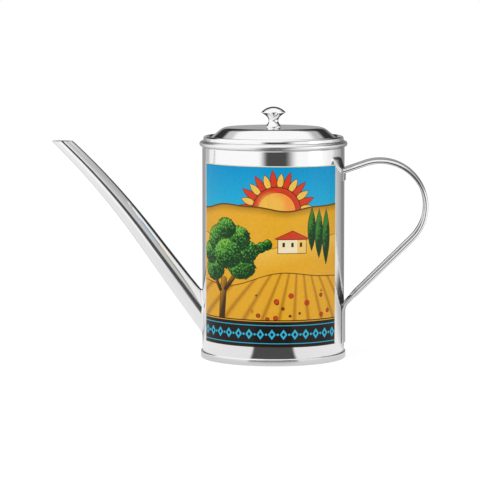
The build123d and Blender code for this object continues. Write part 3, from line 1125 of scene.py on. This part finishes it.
bpy.context.scene.view_settings.view_transform = "Standard"
camera = bpy.data.objects.new("camera", bpy.data.cameras.new("camera"))
camera.data.lens = LENS
camera.location = CAMERA_PLACE
camera.rotation_euler = (radians(90 - CAMERA_DIP), 0, radians(CAMERA_TURN))
bpy.context.scene.collection.objects.link(camera)
bpy.context.scene.camera = camera

# What stands round the can: brightness by azimuth in degrees, from straight ahead of the print, positive
# to the right, in rings from the floor up
WHITE = 1.08
DARK = 0.075
GAP = 0.03
FAINT_GAP = 0.1
LOW_RING = (
    (-180, 0.4),
    (-146, 0.36),
    (-140, 0.55),
    (-129, 0.58),
    (-124, 0.95),
    (-100, WHITE),
    (-25, WHITE),
    (-9, DARK),
    (17, DARK),
    (40, WHITE),
    (56, WHITE),
    (64, 1.5),
    (76, 1.5),
    (86, WHITE),
    (106, 0.95),
    (120, 0.6),
    (133, 0.45),
    (146, 0.22),
    (154, 0.3),
    (168, 0.25),
    (180, 0.4),
)
NEAR_RING = (
    (-180, 0.4),
    (-146, 0.4),
    (-124, 0.9),
    (-29, 0.86),
    (-25, DARK),
    (24, DARK),
    (28, 0.86),
    (106, 0.9),
    (133, 0.45),
    (180, 0.4),
)
MIDDLE_RING = (
    (-180, GAP),
    (-128, GAP),
    (-108, WHITE),
    (8, WHITE),
    (24, 0.6),
    (85, 0.5),
    (96, 0.06),
    (118, 0.06),
    (130, GAP),
    (180, GAP),
)
HIGH_RING = (
    (-180, FAINT_GAP),
    (-158, FAINT_GAP),
    (-151, 0.62),
    (-139, 0.66),
    (-134, WHITE),
    (20, WHITE),
    (45, 0.55),
    (110, 0.45),
    (134, 0.55),
    (150, 0.5),
    (158, FAINT_GAP),
    (180, FAINT_GAP),
)

# Elevations in degrees between which one ring gives way to the next
LOW_TO_MIDDLE = (12, 17)
MIDDLE_TO_HIGH = (32, 38)
HIGH_TO_WHITE = (44, 54)

# Distances on the floor between which the painted shade under the can gives way to the near ring, and that
# ring to the low one
PAINTED_SHADE_TO_NEAR = (0.062, 0.068)
NEAR_TO_LOW = (0.16, 0.5)
FLOOR_RADIUS = 6.0
LAMP_AIM = (0, 0, 0.07)


def grey(level):
    return (level, level, level, 1)


def azimuth_ramp(nodes, azimuth, stops):
    """The brightness of a ring at an azimuth in radians."""
    ramp = nodes.add("ShaderNodeValToRGB", {0: nodes.ranged(azimuth, -pi, pi)})
    ramp.color_ramp.interpolation = "EASE"
    marks = ramp.color_ramp.elements
    while len(marks) > 1:
        marks.remove(marks[-1])
    for index, (angle, level) in enumerate(stops):
        place = (angle + 180) / 360
        mark = marks[0] if index == 0 else marks.new(place)
        mark.position = place
        mark.color = grey(level)
    return ramp.outputs[0]


def studio_azimuth(nodes, way):
    """The azimuth of a direction in radians, and its rise."""
    inputs = {"Vector": way, "Angle": -radians(CAMERA_TURN)}
    turned = nodes.add("ShaderNodeVectorRotate", inputs, rotation_type="Z_AXIS").outputs[0]
    right, back, rise = nodes.split(turned)
    return nodes.math("ARCTAN2", right, nodes.times(back, -1.0)), rise


def studio_world():
    """White to the camera, plain for matt surfaces, and walls and dark gaps for the steel to reflect."""
    world = bpy.data.worlds.new("studio")
    bpy.context.scene.world = world
    nodes = cleared(world)
    azimuth, rise = studio_azimuth(nodes, nodes.add("ShaderNodeTexCoord").outputs["Generated"])

    def blend(first, second, elevations):
        """From one level to the other between two elevations in degrees."""
        start, end = (sin(radians(elevation)) for elevation in elevations)
        return nodes.mix(first, second, nodes.ranged(rise, start, end, smooth=True))

    low, middle, high = (azimuth_ramp(nodes, azimuth, ring) for ring in (LOW_RING, MIDDLE_RING, HIGH_RING))
    walls = blend(low, middle, LOW_TO_MIDDLE)
    upper = blend(walls, high, MIDDLE_TO_HIGH)
    all_round = blend(upper, grey(WHITE), HIGH_TO_WHITE)
    ray = nodes.add("ShaderNodeLightPath").outputs
    shown = nodes.math("MAXIMUM", ray["Is Glossy Ray"], ray["Is Transmission Ray"])
    unseen = nodes.mix(grey(0.8), all_round, shown)
    colour = nodes.mix(unseen, grey(1), ray["Is Camera Ray"])
    backdrop = nodes.add("ShaderNodeBackground", {"Color": colour})
    nodes.add("ShaderNodeOutputWorld", {"Surface": backdrop.outputs[0]})


def studio_floor():
    """A pale floor that keeps a soft shadow, and shows the steel the same bright and dark fields, with a
    painted shade under the can.
    """
    bm = bmesh.new()
    bmesh.ops.create_circle(bm, cap_ends=True, segments=96, radius=FLOOR_RADIUS)
    mesh = bpy.data.meshes.new("floor")
    bm.to_mesh(mesh)
    bm.free()
    floor = bpy.data.objects.new("floor", mesh)
    bpy.context.scene.collection.objects.link(floor)
    material = bpy.data.materials.new("floor")
    mesh.materials.append(material)
    nodes = cleared(material)
    place = nodes.add("ShaderNodeTexCoord").outputs["Object"]
    azimuth, _ = studio_azimuth(nodes, place)
    near = azimuth_ramp(nodes, azimuth, NEAR_RING)
    far = azimuth_ramp(nodes, azimuth, LOW_RING)
    away = nodes.vector("LENGTH", place)
    field = nodes.mix(near, far, nodes.ranged(away, *NEAR_TO_LOW, smooth=True))
    # Mirrored in the steel, the floor just under the can is a painted shade: flat 0.68 grey in place of its
    # shadow.
    shown = nodes.mix(grey(0.68), field, nodes.ranged(away, *PAINTED_SHADE_TO_NEAR))
    mirrored = nodes.add("ShaderNodeEmission", {"Color": shown}).outputs[0]
    plain = nodes.add("ShaderNodeBsdfDiffuse", {"Color": grey(0.8)}).outputs[0]
    glow = nodes.add("ShaderNodeEmission", {"Color": grey(1), "Strength": 0.74}).outputs[0]
    matt = nodes.add("ShaderNodeBsdfDiffuse", {"Color": grey(0.34)}).outputs[0]
    seen = nodes.add("ShaderNodeAddShader", {0: glow, 1: matt}).outputs[0]
    ray = nodes.add("ShaderNodeLightPath").outputs
    unseen = nodes.add("ShaderNodeMixShader", {0: ray["Is Glossy Ray"], 1: plain, 2: mirrored}).outputs[0]
    chosen = nodes.add("ShaderNodeMixShader", {0: ray["Is Camera Ray"], 1: unseen, 2: seen}).outputs[0]
    nodes.add("ShaderNodeOutputMaterial", {"Surface": chosen})


def lamp(name, place, size, power):
    """A soft area lamp that lights matt surfaces and isn't reflected."""
    light = bpy.data.lights.new(name, "AREA")
    light.size = size
    light.energy = power
    obj = bpy.data.objects.new(name, light)
    obj.location = place
    obj.rotation_euler = (Vector(LAMP_AIM) - Vector(place)).to_track_quat("-Z", "Y").to_euler()
    obj.visible_glossy = False
    obj.visible_camera = False
    bpy.context.scene.collection.objects.link(obj)


studio_world()
studio_floor()
lamp("key", (-0.9, -1.1, 1.3), 0.9, 9.0)
lamp("fill", (1.3, -0.8, 0.9), 1.0, 5.0)
